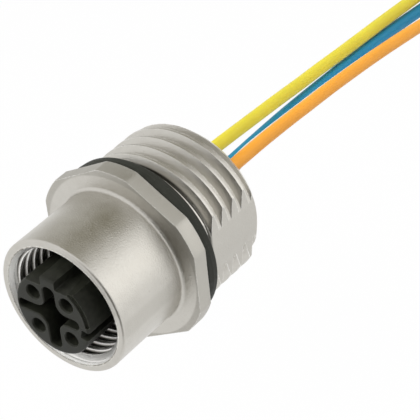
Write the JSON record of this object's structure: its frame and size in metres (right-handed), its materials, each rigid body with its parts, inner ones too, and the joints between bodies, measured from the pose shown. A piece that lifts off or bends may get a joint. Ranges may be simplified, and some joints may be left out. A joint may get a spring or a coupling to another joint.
{
  "type": "m12 connector",
  "caption": "Round metal panel receptacle with a socket insert inside a threaded barrel, a hexagonal flange with a flat seal, a threaded rear end with a flat, and loose coloured leads.",
  "frame": {"origin": "on the connector's axis, in the rear face of the panel seal, which is the plane in which the panel's front face seats, at the start of the rear thread", "axes": "+Y along the axis toward the rear thread and the leads, -Y toward the mating plug, +Z toward the contact carrier's key and a corner of the hexagonal flange, +X toward the milled flat of the rear thread"},
  "size_m": [0.017, 0.0907, 0.033],
  "materials": {
    "nickel_plated_brass": "satin nickel plating over finely blasted, machined brass",
    "seal_rubber": "matt black moulded rubber",
    "carrier_plastic": "moulded black polyamide, slightly satin",
    "retainer_plastic": "moulded black polyamide",
    "gold_contact": "polished thin gold plating",
    "tinned_copper": "bright tinned copper strands",
    "potting_compound": "glossy black casting resin",
    "insulation_yellow": "satin PVC insulation",
    "insulation_orange": "satin PVC insulation",
    "insulation_white": "satin PVC insulation",
    "insulation_blue": "satin PVC insulation",
    "lead_bundle": "four coloured satin PVC leads side by side",
    "tie_nylon": "black nylon"
  },
  "bodies": {
    "root": {"housing": "nickel_plated_brass", "panel_seal": "seal_rubber", "contact_carrier": "carrier_plastic", "carrier_seal": "seal_rubber", "contact_retainer": "retainer_plastic", "socket_1": "gold_contact", "socket_2": "gold_contact", "socket_3": "gold_contact", "socket_4": "gold_contact", "conductor_1": "tinned_copper", "conductor_2": "tinned_copper", "conductor_3": "tinned_copper", "conductor_4": "tinned_copper", "potting": "potting_compound", "lead_yellow": "insulation_yellow", "lead_orange": "insulation_orange", "lead_white": "insulation_white", "lead_blue": "insulation_blue", "lead_coil": "lead_bundle", "coil_tie": "tie_nylon", "bare_end_yellow": "tinned_copper", "bare_end_orange": "tinned_copper", "bare_end_white": "tinned_copper", "bare_end_blue": "tinned_copper"}
  },
  "joints": []
}
